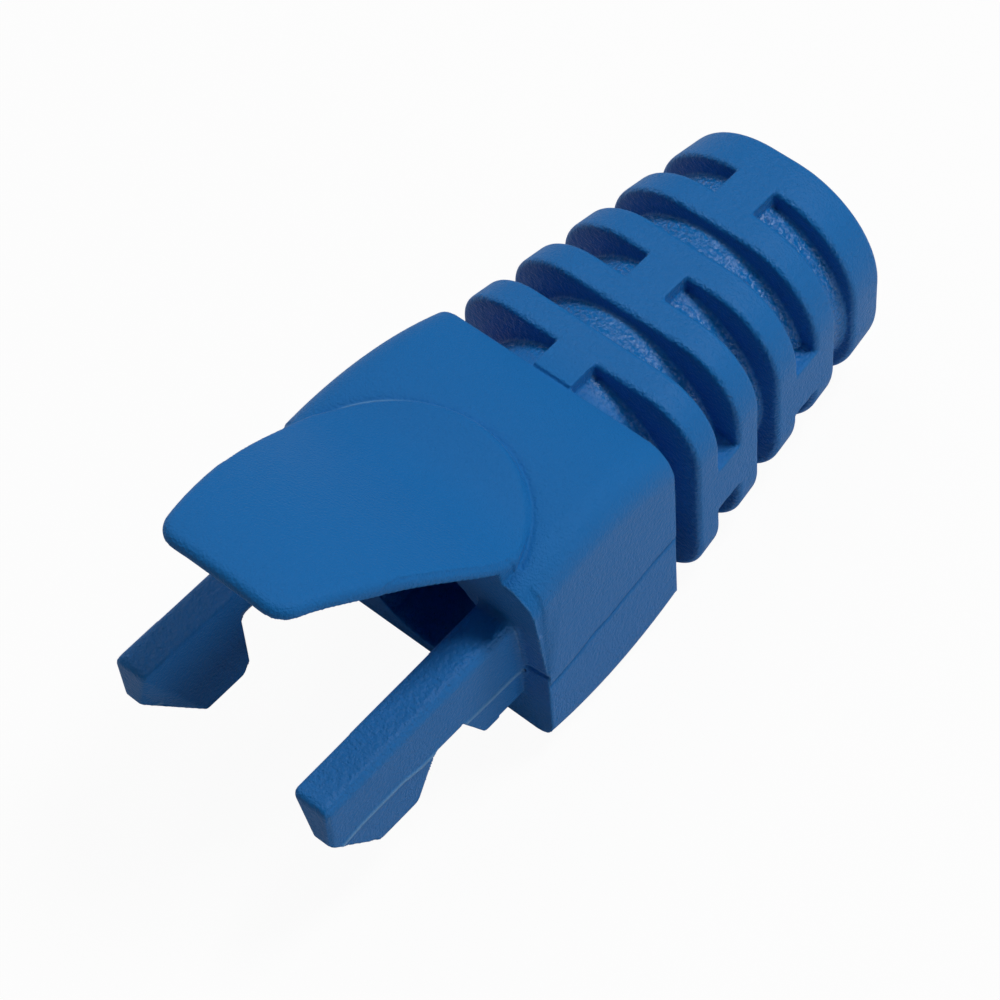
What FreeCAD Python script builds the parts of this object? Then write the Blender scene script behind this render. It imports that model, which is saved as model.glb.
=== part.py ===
import FreeCAD, Part
import math
import os

from FreeCAD import Vector

# Strain relief boot for a modular data plug, moulded in one piece.
# Units are millimetres.
# X runs across the boot, Y runs back towards the cable, Z points to the hooded side.
# Z = 0 is the plane where the two mould halves meet, and the cable hole's axis lies in it.
# The shapes are drawn from Y = 0 at the block's lower front face.
# At the end the boot moves forward, so that the origin is the cable hole's centre at the sleeve's end face.

# Block that carries the arms and the hood
block_half_width_front = 7.0
block_half_width_back = 6.49
block_length = 8.67
block_top_front = 6.45
block_top_middle = 6.85
block_top_back = 5.62
block_bottom_front = 4.55
block_bottom_middle = 5.15
block_bottom_back = 4.7
block_top_overhang = 0.7
block_dome_y = 3.2
block_belly_y = 3.4
block_plan_lead = 1.0
block_top_edge_radius = 1.5
block_bottom_edge_radius = 1.0

# Opening in the front of the block
mouth_radius = 3.9
mouth_rise = 0.7
mouth_depth = 6.2
mouth_lead = 2.0

# Arms that grip the plug
arm_inner = 3.85
arm_outer = 5.68
arm_top = 3.42
arm_length = 11.55
arm_bury = 0.6
arm_splay = 0.8
arm_low = 2.25
arm_low_inner = 3.95
arm_low_outer = 5.5
arm_tip_height = 2.62
arm_tip_lean = 0.02
arm_tip_low_inner = 4.55
arm_hook_front = 8.85
arm_hook_rear = 6.62
arm_neck_front = 5.35
arm_neck_rear = 3.7
arm_bevel_front = 6.25
arm_bevel_top = 2.0
arm_bevel_out = 4.85
arm_base_front = 2.45
arm_top_edge_radius = 0.5
arm_tip_radius = 0.3
arm_corner_radius = 0.4
arm_root_radius = 0.4

# Hood over the plug's latch, a crowned tongue that starts as a raised pad on the block
hood_tip_y = -9.95
hood_tip_half_width = 3.5
hood_tip_corner = 1.2
hood_tip_flare = 17
hood_tip_thickness = 0.46
hood_thickness = 0.9
hood_thin_from = -6.5
hood_crown_radius = 30
hood_under_radius = 69
hood_crown = [(4.9, 7.20), (3.5, 7.27), (2.1, 7.35), (0.7, 7.66), (-0.7, 8.38), (-2.1, 9.37), (-3.5, 10.37),
              (-4.9, 11.25), (-6.3, 11.97), (-7.7, 12.55), (-9.1, 12.92), (-10.5, 13.03)]
hood_flank = [(4.08, -7.0), (4.64, -5.0), (5.13, -3.0), (5.46, -1.5), (5.6, -0.5)]
hood_span = 6.2
hood_root_depth = 2.6
hood_rim_radius = 0.43
pad_radius = 5.8
pad_centre_y = -1.42
pad_join_y = 0.4

# Ribbed tube
tube_half_width_front = 6.6
tube_half_width_back = 5.22
tube_top_front = 5.8
tube_top_back = 5.68
tube_low_front = 5.45
tube_low_back = 5.35
tube_corner_front = 2.6
tube_corner_back = 4.65
tube_end = 24.0
groove_width = 1.40
groove_first = 9.47
groove_pitch = 2.93
groove_count = 5
core_radius_front = 5.15
core_radius_back = 5.0
core_lap = 0.4
bridge_top_half_width = 0.99
bridge_side_half_height = 1.35
rib_edge_radius = 0.25
tube_end_radius = 0.4

# Hole for the cable
cable_radius = 3.1

# Reach of the shapes that only cut or trim, past the whole boot
beyond = 60


def face_yz(edges, x):
    """A flat face in the plane of one X, from edges already drawn there."""
    wire = Part.Wire(edges)
    face = Part.Face(wire)
    face.translate(Vector(x, 0, 0))
    return face


def line(a, b):
    return Part.makeLine(Vector(*a), Vector(*b))


def arc(a, b, c):
    return Part.Arc(Vector(*a), Vector(*b), Vector(*c)).toShape()


def polygon_yz(points):
    """Edges of a closed outline of (y, z) points."""
    corners = [(0, y, z) for y, z in points]
    return [line(a, b) for a, b in zip(corners, corners[1:] + corners[:1])]


def prism_x(edges, x0, x1):
    return face_yz(edges, x0).extrude(Vector(x1 - x0, 0, 0))


def box(x0, y0, z0, x1, y1, z1):
    return Part.makeBox(x1 - x0, y1 - y0, z1 - z0, Vector(x0, y0, z0))


def mirrored(shape):
    return shape.mirror(Vector(0, 0, 0), Vector(1, 0, 0))


def make_block():
    """The block: a domed side outline crossed with a tapering plan, long edges rounded."""
    end = block_length
    front_top = (0, -block_top_overhang, block_top_front)
    back_top = (0, end, block_top_back)
    back_low = (0, end, -block_bottom_back)
    front_low = (0, 0, -block_bottom_front)
    side = [
        line((0, 0, 0), front_top),
        arc(front_top, (0, block_dome_y, block_top_middle), back_top),
        line(back_top, back_low),
        arc(back_low, (0, block_belly_y, -block_bottom_middle), front_low),
        line(front_low, (0, 0, 0)),
    ]
    solid = prism_x(side, -beyond, beyond)
    taper = (block_half_width_front - block_half_width_back) / block_length
    half_0 = block_half_width_front + taper * block_plan_lead
    half_1 = block_half_width_back
    plan = Part.makePolygon([
        Vector(-half_0, -block_plan_lead, -beyond),
        Vector(half_0, -block_plan_lead, -beyond),
        Vector(half_1, end, -beyond),
        Vector(-half_1, end, -beyond),
        Vector(-half_0, -block_plan_lead, -beyond),
    ])
    solid = solid.common(Part.Face(plan).extrude(Vector(0, 0, 2 * beyond)))
    top = []
    for edge in solid.Edges:
        if edge.BoundBox.YLength > 0.8 * end and edge.CenterOfMass.z > 0.5 * block_top_front:
            top.append(edge)
    solid = solid.makeFillet(block_top_edge_radius, top)
    low = []
    for edge in solid.Edges:
        if edge.BoundBox.YLength > 0.8 * end and edge.CenterOfMass.z < -0.8 * block_bottom_front:
            low.append(edge)
    return solid.makeFillet(block_bottom_edge_radius, low)


def half_space(a, b, c, inside):
    """A large solid on one side of the plane through three points, away from the point inside."""
    p, q, r = Vector(*a), Vector(*b), Vector(*c)
    normal = (q - p).cross(r - p)
    normal.normalize()
    if (Vector(*inside) - p).dot(normal) > 0:
        normal = normal * -1
    plane = Part.makePlane(beyond, beyond, p, normal)
    plane.translate(p - plane.CenterOfMass)
    return plane.extrude(normal * beyond)


def make_arm():
    """The right arm: tip, hook, neck and deeper base seen from the side, bevelled on its inner side."""
    tip = -arm_length
    tip_low = arm_top - arm_tip_height
    outline = [
        (arm_bury, arm_top),
        (tip, arm_top),
        (tip + arm_tip_lean, tip_low),
        (-arm_hook_front, -arm_low),
        (-arm_hook_rear, -arm_low),
        (-arm_neck_front, 0),
        (-arm_neck_rear, 0),
        (-arm_base_front, -arm_low),
        (arm_bury, -arm_low),
    ]
    solid = prism_x(polygon_yz(outline), arm_inner, arm_outer)
    draft = half_space(
        (arm_outer, -arm_length, arm_top),
        (arm_outer, 0, arm_top),
        (arm_low_outer, 0, -arm_low),
        (arm_inner, 0, 0),
    )
    solid = solid.cut(draft)
    corners = []
    for edge in solid.Edges:
        middle = edge.CenterOfMass
        along_x = edge.BoundBox.XLength > 0.5 * (arm_outer - arm_inner)
        if along_x and middle.z < 0.01 - arm_low and middle.y < 0:
            corners.append(edge)
    solid = solid.makeFillet(arm_corner_radius, corners)
    rounded = []
    for edge in solid.Edges:
        middle = edge.CenterOfMass
        if middle.z > arm_top - 0.01 and abs(middle.x - arm_outer) < 0.01:
            rounded.append(edge)
    solid = solid.makeFillet(arm_top_edge_radius, rounded)
    tip_bevel = half_space(
        (arm_inner, tip, arm_top),
        (arm_tip_low_inner, tip + arm_tip_lean, tip_low),
        (arm_low_inner, -arm_hook_front, -arm_low),
        (arm_outer, 0, 0),
    )
    solid = solid.cut(tip_bevel)
    lean_bevel = half_space(
        (arm_inner, -arm_length, arm_top),
        (arm_inner, 0, arm_top),
        (arm_low_inner, 0, -arm_low),
        (arm_outer, 0, 0),
    )
    solid = solid.cut(lean_bevel)
    bevel = Part.Face(Part.makePolygon([
        Vector(arm_inner - 1, -arm_bevel_front, arm_bevel_top),
        Vector(arm_inner, -arm_bevel_front, arm_bevel_top),
        Vector(arm_bevel_out, -arm_bevel_front, 0),
        Vector(arm_bevel_out, -arm_bevel_front, -beyond),
        Vector(arm_inner - 1, -arm_bevel_front, -beyond),
        Vector(arm_inner - 1, -arm_bevel_front, arm_bevel_top),
    ]))
    solid = solid.cut(bevel.extrude(Vector(0, arm_bevel_front - arm_neck_rear, 0)))
    ends = []
    for edge in solid.Edges:
        b = edge.BoundBox
        if b.YMax < tip + 0.1 and b.ZLength > 1:
            ends.append(edge)
    solid = solid.makeFillet(arm_tip_radius, ends)
    solid.rotate(Vector(arm_inner, 0, 0), Vector(0, 0, 1), arm_splay)
    return solid


def spline(points, first_direction, last_direction):
    curve = Part.BSplineCurve()
    curve.interpolate(
        Points=[Vector(*p) for p in points],
        InitialTangent=Vector(*first_direction),
        FinalTangent=Vector(*last_direction),
    )
    return curve.toShape()


def hood_plan():
    """The tongue seen from above: two flanks, a tip with round corners and the round back of the pad."""
    r = hood_tip_corner
    w = hood_tip_half_width
    y = hood_tip_y
    flare = math.radians(hood_tip_flare)
    start = (w - r + r * math.cos(flare), y + r - r * math.sin(flare), 0)
    half = 0.5 * (math.pi / 2 - flare)
    corner = (w - r + r * math.sin(half), y + r - r * math.cos(half), 0)
    rise = pad_join_y - pad_centre_y
    join = (math.sqrt(pad_radius ** 2 - rise ** 2), pad_join_y, 0)
    out = (math.sin(flare), math.cos(flare), 0)
    back = (-rise / pad_radius, join[0] / pad_radius, 0)
    right = spline([start] + [(x, y, 0) for x, y in hood_flank] + [join], out, back)
    tip = arc((w - r, y, 0), corner, start)
    plan = Part.Face(Part.Wire([
        tip,
        right,
        arc(join, (0, pad_centre_y + pad_radius, 0), (-join[0], pad_join_y, 0)),
        mirrored(right),
        mirrored(tip),
        line((r - w, y, 0), (w - r, y, 0)),
    ]))
    return plan.extrude(Vector(0, 0, beyond))


def crowned_surface(under):
    """The hood's top or its underside: rows of points along Y, each row bent down at both sides."""
    rows = []
    for y, top in hood_crown:
        drop = 0
        bend = 1 / (2 * hood_crown_radius)
        if under:
            tip_share = (hood_thin_from - y) / (hood_thin_from - hood_tip_y)
            tip_share = min(1, max(0, tip_share))
            drop = hood_thickness + (hood_tip_thickness - hood_thickness) * tip_share
            bend = tip_share * bend + (1 - tip_share) / (2 * hood_under_radius)
        across = [hood_span * k / 3 for k in range(-3, 4)]
        rows.append([Vector(x, y, top - drop - bend * x * x) for x in across])
    surface = Part.BSplineSurface()
    surface.interpolate(rows)
    return surface.toShape()


def make_hood():
    """The tongue: solid where it grows out of the block, hollow below in front of the block."""
    hood = crowned_surface(False).extrude(Vector(0, 0, -hood_root_depth))
    below = crowned_surface(True).extrude(Vector(0, 0, -beyond))
    lean = block_top_overhang / block_top_front
    front = [(-beyond, -beyond), (beyond * lean, -beyond), (-beyond * lean, beyond), (-beyond, beyond)]
    below = below.common(prism_x(polygon_yz(front), -beyond, beyond))
    hood = hood.cut(below).common(hood_plan())
    top_face = max(hood.Faces, key=lambda face: face.Area)
    return hood.makeFillet(hood_rim_radius, top_face.Edges)


def rounded_section(y):
    """Closed outline of the tube at one Y: flat top, sides and bottom with round corners."""
    s = (y - block_length) / (tube_end - block_length)
    a = tube_half_width_front + (tube_half_width_back - tube_half_width_front) * s
    b = tube_top_front + (tube_top_back - tube_top_front) * s
    c = tube_low_front + (tube_low_back - tube_low_front) * s
    r = tube_corner_front + (tube_corner_back - tube_corner_front) * s
    k = r * (1 - math.sqrt(0.5))
    edges = [
        line((-(a - r), y, b), (a - r, y, b)),
        arc((a - r, y, b), (a - k, y, b - k), (a, y, b - r)),
        line((a, y, b - r), (a, y, -(c - r))),
        arc((a, y, -(c - r)), (a - k, y, -(c - k)), (a - r, y, -c)),
        line((a - r, y, -c), (-(a - r), y, -c)),
        arc((-(a - r), y, -c), (-(a - k), y, -(c - k)), (-a, y, -(c - r))),
        line((-a, y, -(c - r)), (-a, y, b - r)),
        arc((-a, y, b - r), (-(a - k), y, b - k), (-(a - r), y, b)),
    ]
    return Part.Wire(edges)


def skin(y0, y1):
    """A length of the tube's outer shape, solid inside."""
    return Part.makeLoft([rounded_section(y0), rounded_section(y1)], True, True)


def outline_edges(shape, y):
    """Edges that lie in the plane of one Y."""
    found = []
    for edge in shape.Edges:
        near = abs(edge.BoundBox.YMin - y) < 0.001 and abs(edge.BoundBox.YMax - y) < 0.001
        if near:
            found.append(edge)
    return found


def make_tube():
    """The tube: separate ribs on a round core, joined by bridges that change sides each groove."""
    pieces = []
    last = groove_first + (groove_count - 1) * groove_pitch
    for i in range(groove_count):
        centre = groove_first + i * groove_pitch
        y0 = centre - groove_width / 2
        y1 = centre + groove_width / 2
        if i == 0:
            y0 = block_length
        s = i / (groove_count - 1)
        radius = core_radius_front + (core_radius_back - core_radius_front) * s
        core_start = Vector(0, y0 - core_lap, 0)
        pieces.append(Part.makeCylinder(radius, y1 - y0 + 2 * core_lap, core_start, Vector(0, 1, 0)))
        lap = rib_edge_radius + 0.05
        bar = skin(max(y0 - lap, block_length), y1 + lap)
        if i % 2 == 0:
            w = bridge_top_half_width
            bar = bar.common(box(-w, 0, -beyond, w, beyond, beyond))
        else:
            h = bridge_side_half_height
            bar = bar.common(box(-beyond, 0, -h, beyond, beyond, h))
        pieces.append(bar)
        if centre < last - 0.01:
            rib_end = y1 + groove_pitch - groove_width
            rib = skin(y1, rib_end)
            rims = outline_edges(rib, y1) + outline_edges(rib, rib_end)
            pieces.append(rib.makeFillet(rib_edge_radius, rims))
        else:
            collar = skin(y1, tube_end)
            collar = collar.makeFillet(rib_edge_radius, outline_edges(collar, y1))
            collar = collar.makeFillet(tube_end_radius, outline_edges(collar, tube_end))
            pieces.append(collar)
    return pieces


def main():
    os.makedirs("parts", exist_ok=True)
    block = make_block()
    right_arm = make_arm()
    left_arm = mirrored(right_arm)
    hood = make_hood()
    body = block.fuse([hood, right_arm, left_arm] + make_tube())
    body = body.removeSplitter()
    roots = []
    for edge in body.Edges:
        b = edge.BoundBox
        level = b.ZLength < 0.02 and abs(b.ZMin - arm_top) < 0.02
        on_block = -block_top_overhang < b.YMin and b.YMax < 0
        if level and on_block and b.XLength > 0.5 * (arm_outer - arm_inner):
            roots.append(edge)
    body = body.makeFillet(arm_root_radius, roots)
    start = Vector(0, -mouth_lead, 0)
    along = Vector(0, 1, 0)
    mouth = Part.makeCylinder(mouth_radius, mouth_depth + mouth_lead, start, along)
    upper = Part.makeCylinder(mouth_radius, mouth_depth + mouth_lead, start + Vector(0, 0, mouth_rise), along)
    middle = box(-mouth_radius, -mouth_lead, 0, mouth_radius, mouth_depth, mouth_rise)
    bore = Part.makeCylinder(cable_radius, beyond, Vector(0, 0, 0), along)
    body = body.cut(mouth.fuse([upper, middle, bore]))
    body.translate(Vector(0, -tube_end, 0))
    print("solids", len(body.Solids), "valid", body.isValid(), "volume", round(body.Volume, 1))
    print("box", body.BoundBox)
    body.exportStep("parts/boot.step")


main()
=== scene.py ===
import math
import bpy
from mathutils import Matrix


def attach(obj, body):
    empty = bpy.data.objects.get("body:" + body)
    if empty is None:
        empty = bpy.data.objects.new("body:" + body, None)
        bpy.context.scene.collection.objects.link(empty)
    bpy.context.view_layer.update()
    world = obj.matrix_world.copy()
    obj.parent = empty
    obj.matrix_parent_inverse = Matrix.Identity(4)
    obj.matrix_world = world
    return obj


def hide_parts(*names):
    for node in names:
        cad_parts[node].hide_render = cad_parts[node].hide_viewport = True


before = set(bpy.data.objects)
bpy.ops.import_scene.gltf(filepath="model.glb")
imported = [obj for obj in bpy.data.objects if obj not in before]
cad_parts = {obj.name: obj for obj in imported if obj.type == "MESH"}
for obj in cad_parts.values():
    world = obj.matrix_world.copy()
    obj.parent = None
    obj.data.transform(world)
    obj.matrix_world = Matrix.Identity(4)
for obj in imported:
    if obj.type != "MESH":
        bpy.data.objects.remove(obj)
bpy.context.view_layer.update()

from types import SimpleNamespace

import bpy
import numpy as np
from mathutils import Euler, Vector

# Sizes are in millimetres, as in the part's source, and MM turns them into metres.
# X runs across the boot, Y towards the cable, Z to the hooded side.
# Y = 0 is the end face of the tube, and the front of the block is at Y = -24.
MM = 0.001
BLOCK_FRONT = -24.0

# Skin: cell of the even mesh, how much it is smoothed, and how many triangles are kept
VOXEL = 0.065
SMOOTH_FACTOR = 0.5
SMOOTH_STEPS = 3
SKIN_TRIANGLES = 196000

# Parting line of the mould, as places (y behind the block's front, z) on the block's side,
# on an arm's outer face, and (x, z) on the block's front face
SIDE_LINE = (
    (0.0, -0.45), (2.0, -0.39), (3.0, -0.19), (4.0, -0.27),
    (5.0, -0.14), (6.1, -0.07), (7.0, 0.01), (9.2, -0.04),
)
ARM_LINE = (
    (-11.2, 0.12), (-9.8, 0.33), (-7.3, 0.30), (-6.2, 0.0),
    (-5.6, 0.0), (-3.6, -0.20), (-2.3, -0.29), (0.0, -0.45),
)
FRONT_LINE = ((5.4, -0.02), (5.67, 0.0), (6.22, 0.11), (6.77, 0.22), (7.12, 0.27))

# Parting line: its groove, the ridge that it is on the arms, and the step of the block's lower half,
# which comes in over a band counted in widths of the line
SEAM_WIDTH = 0.12
SEAM_DEPTH = 0.14
ARM_RIDGE = 0.4 * SEAM_DEPTH
LOWER_HALF_DEPTH = 0.05
LOWER_HALF_BAND = 0.5

# Where the parting line runs: how far a face has to turn (1 is all the way), and its places
LINE_END = 9.3
SIDE_FACING = 0.5
ARM_FACING = 0.6
ARM_OUTSIDE = 4.4
FRONT_FACING = 0.5
FRONT_REACH = 0.6
FRONT_OUTSIDE = 5.6

# Pad: the round outline that its tongue lies in, with a fine groove and a soft shoulder outside it
PAD_RADIUS = 5.8
PAD_CENTRE = -1.42
PAD_LEVEL = 5.5
PAD_GROOVE_START = 0.3
PAD_GROOVE_DEPTH = 0.05
PAD_GROOVE_PLACE = 0.1
PAD_GROOVE_WIDTH = 0.09
PAD_SHOULDER_DEPTH = 0.04
PAD_SHOULDER_WIDTH = 0.4

# Tube: where its grain starts and is full, its grooves, and how softly their floors begin
TUBE_START = 9.1
TUBE_FULL = 9.4
GROOVE_FIRST = 9.47
GROOVE_PITCH = 2.93
GROOVE_WIDTH = 1.4
GROOVE_END_BLEND = 0.1
GROOVE_FLOOR = 5.35
GROOVE_FLOOR_BLEND = 0.15

# Arms: the part of the front that counts as an arm
ARM_INSIDE = 3.7
ARM_LEVEL = 3.7

# How coarse each part of the skin is, from 0 to 1
COARSE_TUBE = 0.2
COARSE_GROOVE = 0.66
COARSE_RIB_FRONT = 0.1
COARSE_RIB_EDGE = 0.16
COARSE_ARM = 0.18
COARSE_ARM_TOP = 0.12
COARSE_BLOCK_SIDE = 0.2

# How far a face is turned (1 is all the way) where each of those starts to change, and where it has
GROOVE_WALL_TURN = (0.15, 0.5)
RIB_FRONT_TURN = (0.3, 0.8)
RIB_EDGE_TURN = (0.2, 0.45)
ARM_TOP_TURN = (0.3, 0.8)
BLOCK_SIDE_TURN = (0.4, 0.9)

# Painted highlight: a lighter colour where the pad's left rim catches the light
RIM_HIGHLIGHT = 0.9
RIM_HIGHLIGHT_PLACE = 0.02
RIM_HIGHLIGHT_WIDTH = 0.06
RIM_HIGHLIGHT_LEVEL = 4.3
RIM_HIGHLIGHT_START = -0.6
RIM_HIGHLIGHT_SIDES = (-0.4, 0.4)

# Painted highlight: a lighter colour on the lip around the block's front, where its edge catches the light
LIP_HIGHLIGHT = 0.3
LIP_REACH = 0.3
LIP_SIDE = 5.75
LIP_TOP = 3.6
LIP_INSIDE = 4.8
LIP_LOWEST = -0.4
LIP_HIGHEST = 6.5
LIP_TURN_START = (0.35, 0.5)
LIP_TURN_END = (0.7, 0.85)

# Painted highlights along the parting line, where its ridge and lip catch the light, with places and widths
# counted in widths of the line
LINE_HIGHLIGHT = 0.8
ARM_HIGHLIGHT_WIDTH = 0.9
BLOCK_HIGHLIGHT_PLACE = 0.9
BLOCK_HIGHLIGHT_WIDTH = 0.7
BLOCK_HIGHLIGHT_END = (1.2, 2.2)

# Colours, as linear red, green and blue
PLASTIC = (0.002, 0.151, 0.466)
# The lighter colour is a painted highlight, not a colour of the plastic itself
PAINTED_HIGHLIGHT = (0.16, 0.36, 0.62)
FLOOR = (0.8, 0.8, 0.8)
WHITE = (1.0, 1.0, 1.0)

# Plastic: refraction and sheen, then roughness and shine where it is satin and where it is coarse
REFRACTION = 1.35
SHEEN = 0.09
SHEEN_ROUGHNESS = 0.3
ROUGHNESS = (0.66, 0.24)
SHINE = (0.5, 1.0)

# Grain of the satin and pebbles of the coarse parts: height, cells a metre, and detail
GRAIN_HEIGHT = 0.055
GRAIN_SCALE = 9500.0
GRAIN_DETAIL = 2.0
PEBBLE_HEIGHT = 0.17
PEBBLE_SCALE = 4600.0
PEBBLE_DETAIL = 0.7
NOISE_MIDDLE = 0.5

# Floor, and the share of white that the camera sees in it
FLOOR_HEIGHT = -5.46
FLOOR_HALF = 1500.0
FLOOR_WHITE = 0.95

# Lamps: where they point, and their usual size and distance
LAMP_AIM = (0.0, -18.0, 0.0)
LAMP_SIZE = 250.0
LAMP_DISTANCE = 500.0

# Camera: the photograph's place, turn in degrees and lens
CAMERA_PLACE = (59.83, -53.11 + BLOCK_FRONT, 118.76)
CAMERA_TURN = (35.169, 3.328, 41.105)
CAMERA_LENS = 125.42
CAMERA_SENSOR = 36.0
CAMERA_NEAREST = 5.0


def make_skin():
    """The boot's skin: the solid's own surface, evenly meshed, with every edge slightly rounded."""
    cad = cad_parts["boot"]
    skin = bpy.data.objects.new("boot_skin", cad.data.copy())
    bpy.context.scene.collection.objects.link(skin)
    remesh = skin.modifiers.new("even mesh", "REMESH")
    remesh.mode = "VOXEL"
    remesh.voxel_size = VOXEL * MM
    remesh.use_smooth_shade = True
    soften = skin.modifiers.new("round edges", "SMOOTH")
    soften.factor = SMOOTH_FACTOR
    soften.iterations = SMOOTH_STEPS
    skin.data = baked(skin)
    shape_and_mark(skin.data)
    thin_out(skin)
    skin.data.name = "boot_skin"
    skin.data.materials.clear()
    skin.data.materials.append(plastic_material())
    print("skin triangles", count_triangles(skin.data))
    return skin


def thin_out(skin):
    """Takes the skin down to its triangles, and keeps the shading of the dense mesh."""
    dense = bpy.data.objects.new("dense", skin.data.copy())
    bpy.context.scene.collection.objects.link(dense)
    fewer = skin.modifiers.new("fewer faces", "DECIMATE")
    fewer.use_collapse_triangulate = True
    fewer.ratio = min(1.0, SKIN_TRIANGLES / count_triangles(skin.data))
    shading = skin.modifiers.new("smooth shading", "DATA_TRANSFER")
    shading.object = dense
    shading.use_loop_data = True
    shading.data_types_loops = {"CUSTOM_NORMAL"}
    shading.loop_mapping = "POLYINTERP_NEAREST"
    skin.data = baked(skin)
    bpy.data.objects.remove(dense)


def baked(thing):
    """The thing's mesh with its modifiers applied, which are then taken off."""
    graph = bpy.context.evaluated_depsgraph_get()
    mesh = bpy.data.meshes.new_from_object(thing.evaluated_get(graph))
    thing.modifiers.clear()
    return mesh


def count_triangles(mesh):
    mesh.calc_loop_triangles()
    return len(mesh.loop_triangles)


def ramp(value, start, end):
    """0 before start, 1 after end, and a straight rise between."""
    return np.clip((value - start) / (end - start), 0.0, 1.0)


def fall(value, start, end):
    """1 before start, 0 after end, and a straight fall between."""
    return ramp(-value, -end, -start)


def hill(value, centre, width):
    """1 at the centre, and a soft fall on both sides."""
    return np.exp(-((value - centre) / width) ** 2)


def along(line, where):
    """Height of a parting line, given as (place, height) pairs, at each place."""
    places, heights = zip(*line)
    return np.interp(where, places, heights)


def shape_and_mark(mesh):
    """Works the parting line and the pad's rim into the skin, and marks where it is coarse and where a
    highlight is painted in a lighter colour.
    """
    at = read_surface(mesh)
    moved = at.place - at.normal * (relief(at) * MM)[:, None]
    mesh.vertices.foreach_set("co", moved.astype(np.float32).ravel())
    store(mesh, "coarse", coarseness(at))
    # Where a highlight is painted in as a lighter colour, one number a vertex
    store(mesh, "painted_highlight", painted_highlights(at))
    mesh.update()


def read_surface(mesh):
    """Place and turn of each vertex, and where it lies against the parting line and the pad's rim."""
    at = SimpleNamespace()
    at.place = read_vectors(mesh.vertices, "co")
    at.normal = read_vectors(mesh.vertex_normals, "vector")
    at.x, y, at.z = at.place.T / MM
    at.from_front = y - BLOCK_FRONT
    across, back, at.up = at.normal.T
    at.out = np.abs(at.x)
    at.sideways = np.abs(across)
    at.forward = -back

    at.on_block = (at.from_front > 0.0) & (at.from_front < LINE_END) & (at.sideways > SIDE_FACING)
    at.on_arm = (at.from_front <= 0.0) & (at.out > ARM_OUTSIDE) & (at.sideways > ARM_FACING)
    near_front = np.abs(at.from_front) < FRONT_REACH
    at.on_front = near_front & (at.forward > FRONT_FACING) & (at.out > FRONT_OUTSIDE)
    level = np.where(at.on_front, along(FRONT_LINE, at.out), along(SIDE_LINE, at.from_front))
    level = np.where(at.on_arm, along(ARM_LINE, at.from_front), level)
    at.off_line = (at.z - level) / SEAM_WIDTH
    at.from_rim = np.hypot(at.x, at.from_front - PAD_CENTRE) - PAD_RADIUS
    return at


def read_vectors(items, name):
    """One vector of the mesh for each vertex, as rows of three."""
    flat = np.empty(len(items) * 3, dtype=np.float32)
    items.foreach_get(name, flat)
    return flat.reshape(-1, 3).astype(float)


def relief(at):
    """How far each vertex sinks: a groove along the parting line and a fine one outside the pad's rim."""
    line = hill(at.off_line, 0.0, 1.0)
    step_in = LOWER_HALF_DEPTH * fall(at.off_line, -LOWER_HALF_BAND, LOWER_HALF_BAND) * at.on_block
    step_in += SEAM_DEPTH * line * (at.on_block | at.on_front)
    step_in += ARM_RIDGE * (1.0 - line) * at.on_arm

    behind_pad = (at.z > PAD_LEVEL) & (at.from_front > PAD_GROOVE_START)
    groove = hill(at.from_rim, PAD_GROOVE_PLACE, PAD_GROOVE_WIDTH)
    shoulder = hill(at.from_rim, 0.0, PAD_SHOULDER_WIDTH) * (at.from_rim > 0.0)
    step_in += PAD_GROOVE_DEPTH * groove * behind_pad
    step_in += PAD_SHOULDER_DEPTH * shoulder * behind_pad
    return step_in


def coarseness(at):
    """Coarse grain: strongest on the grooves' floors, then on the ribs, the arms and the block's sides."""
    tube = ramp(at.from_front, TUBE_START, TUBE_FULL)
    half_pitch = GROOVE_PITCH / 2
    half_width = GROOVE_WIDTH / 2
    from_groove = (at.from_front - GROOVE_FIRST + half_pitch) % GROOVE_PITCH - half_pitch
    in_groove = fall(np.abs(from_groove), half_width, half_width + GROOVE_END_BLEND)
    deep = fall(np.hypot(at.x, at.z), GROOVE_FLOOR - GROOVE_FLOOR_BLEND, GROOVE_FLOOR)
    no_wall = fall(np.abs(at.forward), *GROOVE_WALL_TURN)
    rib_front = ramp(at.forward, *RIB_FRONT_TURN)
    rib_edge = ramp(at.forward, *RIB_EDGE_TURN) * ramp(at.up, *RIB_EDGE_TURN)
    arm = (at.from_front < 0.0) & (at.out > ARM_INSIDE) & (at.z < ARM_LEVEL)
    block_side = (at.from_front > 0.0) * (1.0 - tube) * ramp(at.sideways, *BLOCK_SIDE_TURN)

    coarse = tube * (COARSE_TUBE + COARSE_GROOVE * in_groove * deep * no_wall)
    coarse += tube * (COARSE_RIB_FRONT * rib_front + COARSE_RIB_EDGE * rib_edge)
    coarse += arm * (COARSE_ARM + COARSE_ARM_TOP * ramp(at.up, *ARM_TOP_TURN))
    coarse += COARSE_BLOCK_SIDE * block_side
    return np.clip(coarse, 0.0, 1.0)


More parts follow.
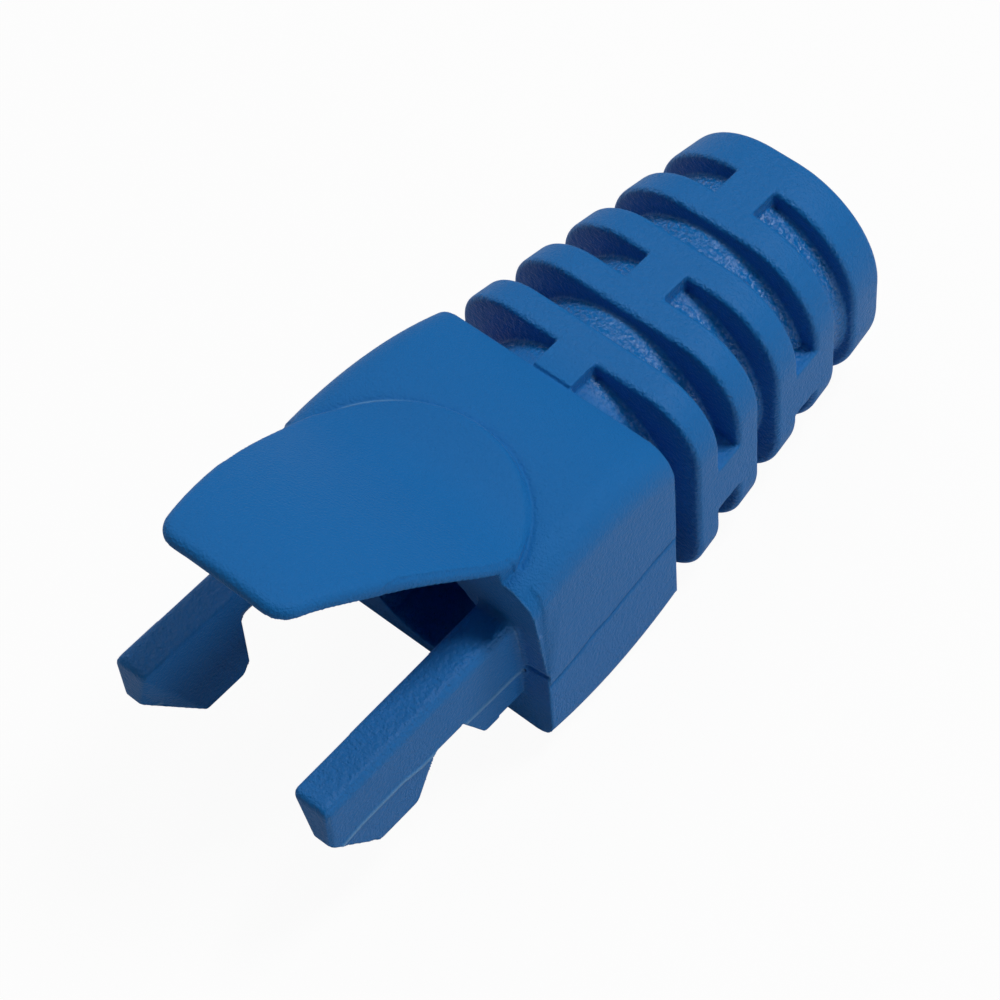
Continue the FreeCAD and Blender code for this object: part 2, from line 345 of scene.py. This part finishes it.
def painted_highlights(at):
    """Painted highlights, in a lighter colour: the pad's left rim, the block's front lip, the line on the
    arms and the block's front.
    """
    # Painted highlight along the pad's left rim
    rim_left = (at.z > RIM_HIGHLIGHT_LEVEL) & (at.from_front > RIM_HIGHLIGHT_START)
    rim = hill(at.from_rim, RIM_HIGHLIGHT_PLACE, RIM_HIGHLIGHT_WIDTH) * rim_left * fall(at.x, *RIM_HIGHLIGHT_SIDES)

    # Painted highlight on the edge of the block's front lip
    lip_part = (at.from_front < LIP_REACH) & (at.out > LIP_INSIDE) & ((at.out > LIP_SIDE) | (at.z > LIP_TOP))
    lip_part &= (at.z > LIP_LOWEST) & (at.z < LIP_HIGHEST)
    lip = lip_part * ramp(at.forward, *LIP_TURN_START) * fall(at.forward, *LIP_TURN_END)

    # Painted highlights along the parting line on the arms and at the front of the block's sides
    arm_line = hill(at.off_line, 0.0, ARM_HIGHLIGHT_WIDTH) * at.on_arm
    block_line = hill(at.off_line, BLOCK_HIGHLIGHT_PLACE, BLOCK_HIGHLIGHT_WIDTH) * at.on_block
    block_line *= fall(at.from_front, *BLOCK_HIGHLIGHT_END)
    return np.clip(RIM_HIGHLIGHT * rim + LIP_HIGHLIGHT * lip + LINE_HIGHLIGHT * (arm_line + block_line), 0.0, 1.0)


def store(mesh, name, values):
    """Keeps one number a vertex, which the material reads by its name."""
    attribute = mesh.attributes.new(name, "FLOAT", "POINT")
    attribute.data.foreach_set("value", np.asarray(values, dtype=np.float32))


def node(tree, kind, **inputs):
    """Adds a shader node and sets or links its inputs by name."""
    made = tree.nodes.new(kind)
    for name, value in inputs.items():
        feed(tree, made.inputs[name.replace("_", " ")], value)
    return made


def feed(tree, socket, value):
    """Links another node's output to the socket, or sets the socket to a plain value."""
    if isinstance(value, bpy.types.NodeSocket):
        tree.links.new(value, socket)
    else:
        socket.default_value = value


def maths(tree, operation, first, second):
    """Adds a maths node over two values, each a socket or a number."""
    made = tree.nodes.new("ShaderNodeMath")
    made.operation = operation
    feed(tree, made.inputs[0], first)
    feed(tree, made.inputs[1], second)
    return made.outputs[0]


def mark(tree, name):
    """One of the skin's stored numbers."""
    made = tree.nodes.new("ShaderNodeAttribute")
    made.attribute_name = name
    return made.outputs["Fac"]


def between(tree, share, ends):
    """A number that goes from one end to the other as the share goes from 0 to 1."""
    made = node(tree, "ShaderNodeMapRange", Value=share, To_Min=ends[0], To_Max=ends[1])
    return made.outputs["Result"]


def plastic_material():
    """Deep blue satin plastic: fine grain all over, coarser and glossier where the skin is marked coarse."""
    material = bpy.data.materials.new("boot_plastic")
    material.use_nodes = True
    tree = material.node_tree
    shader = tree.nodes["Principled BSDF"]
    shader.inputs["IOR"].default_value = REFRACTION
    shader.inputs["Sheen Weight"].default_value = SHEEN
    shader.inputs["Sheen Roughness"].default_value = SHEEN_ROUGHNESS
    coarse = mark(tree, "coarse")
    feed(tree, shader.inputs["Roughness"], between(tree, coarse, ROUGHNESS))
    feed(tree, shader.inputs["Specular IOR Level"], between(tree, coarse, SHINE))

    # Base colour: the plastic, mixed towards a painted highlight where the skin is marked for one
    colour = tree.nodes.new("ShaderNodeMix")
    colour.data_type = "RGBA"
    feed(tree, colour.inputs["Factor"], mark(tree, "painted_highlight"))
    colour.inputs["A"].default_value = (*PLASTIC, 1)
    colour.inputs["B"].default_value = (*PAINTED_HIGHLIGHT, 1)
    feed(tree, shader.inputs["Base Color"], colour.outputs["Result"])

    place = node(tree, "ShaderNodeTexCoord").outputs["Object"]
    grain = node(tree, "ShaderNodeTexNoise", Vector=place, Scale=GRAIN_SCALE, Detail=GRAIN_DETAIL)
    pebbles = node(tree, "ShaderNodeTexNoise", Vector=place, Scale=PEBBLE_SCALE, Detail=PEBBLE_DETAIL)
    swell = maths(tree, "SUBTRACT", pebbles.outputs["Fac"], NOISE_MIDDLE)
    swell = maths(tree, "MULTIPLY", swell, coarse)
    fine = node(tree, "ShaderNodeBump", Distance=GRAIN_HEIGHT * MM, Height=grain.outputs["Fac"])
    rough = node(tree, "ShaderNodeBump", Distance=PEBBLE_HEIGHT * MM, Height=swell)
    feed(tree, rough.inputs["Normal"], fine.outputs["Normal"])
    feed(tree, shader.inputs["Normal"], rough.outputs["Normal"])
    return material


def floor_material():
    """Pale floor that shows as near white, and keeps the object's shadow."""
    material = bpy.data.materials.new("floor_paper")
    material.use_nodes = True
    tree = material.node_tree
    tree.nodes.clear()
    paper = node(tree, "ShaderNodeBsdfDiffuse", Color=(*FLOOR, 1))
    white = node(tree, "ShaderNodeEmission", Color=(*WHITE, 1), Strength=1.0)
    path = node(tree, "ShaderNodeLightPath")
    share = maths(tree, "MULTIPLY", path.outputs["Is Camera Ray"], FLOOR_WHITE)
    mix = node(tree, "ShaderNodeMixShader", Fac=share)
    tree.links.new(paper.outputs[0], mix.inputs[1])
    tree.links.new(white.outputs[0], mix.inputs[2])
    out = tree.nodes.new("ShaderNodeOutputMaterial")
    tree.links.new(mix.outputs[0], out.inputs["Surface"])
    return material


def make_floor():
    half = FLOOR_HALF * MM
    z = FLOOR_HEIGHT * MM
    corners = [(-half, -half, z), (half, -half, z), (half, half, z), (-half, half, z)]
    mesh = bpy.data.meshes.new("floor")
    mesh.from_pydata(corners, [], [(0, 1, 2, 3)])
    floor = bpy.data.objects.new("floor", mesh)
    floor.data.materials.append(floor_material())
    bpy.context.scene.collection.objects.link(floor)


def make_world():
    """White where the camera looks past the floor, and dark as a light: the lamps alone light the boot."""
    world = bpy.data.worlds.new("studio")
    bpy.context.scene.world = world
    world.use_nodes = True
    tree = world.node_tree
    tree.nodes.clear()
    dark = node(tree, "ShaderNodeBackground", Color=(*WHITE, 1), Strength=0.0)
    white = node(tree, "ShaderNodeBackground", Color=(*WHITE, 1), Strength=1.0)
    path = node(tree, "ShaderNodeLightPath")
    mix = node(tree, "ShaderNodeMixShader", Fac=path.outputs["Is Camera Ray"])
    tree.links.new(dark.outputs[0], mix.inputs[1])
    tree.links.new(white.outputs[0], mix.inputs[2])
    out = tree.nodes.new("ShaderNodeOutputWorld")
    tree.links.new(mix.outputs[0], out.inputs["Surface"])


def area_lamp(name, around, height, power, size=LAMP_SIZE, distance=LAMP_DISTANCE):
    """A square soft lamp: around and height are the angles, in degrees, at which the boot sees it."""
    lamp = bpy.data.lights.new(name, "AREA")
    lamp.shape = "SQUARE"
    lamp.size = size * MM
    lamp.energy = power
    thing = bpy.data.objects.new(name, lamp)
    turn = math.radians(around)
    rise = math.radians(height)
    away = Vector((math.cos(rise) * math.cos(turn), math.cos(rise) * math.sin(turn), math.sin(rise)))
    thing.location = (Vector(LAMP_AIM) + away * distance) * MM
    thing.rotation_euler = away.to_track_quat("Z", "Y").to_euler()
    bpy.context.scene.collection.objects.link(thing)


def make_camera():
    data = bpy.data.cameras.new("camera")
    data.lens = CAMERA_LENS
    data.sensor_width = CAMERA_SENSOR
    data.clip_start = CAMERA_NEAREST * MM
    camera = bpy.data.objects.new("camera", data)
    camera.location = Vector(CAMERA_PLACE) * MM
    camera.rotation_euler = Euler([math.radians(angle) for angle in CAMERA_TURN], "XYZ")
    bpy.context.scene.collection.objects.link(camera)
    bpy.context.scene.camera = camera


skin = make_skin()
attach(skin, "root")
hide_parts("boot")

make_floor()
make_world()
area_lamp("key", around=60, height=64, power=0.47, size=80.0, distance=300.0)
area_lamp("top_left", around=160, height=64, power=0.44)
area_lamp("front_left", around=225, height=40, power=0.17)
area_lamp("low_left", around=165, height=12, power=0.38)
area_lamp("low_right", around=5, height=10, power=0.62)
make_camera()
bpy.context.scene.view_settings.view_transform = "Standard"
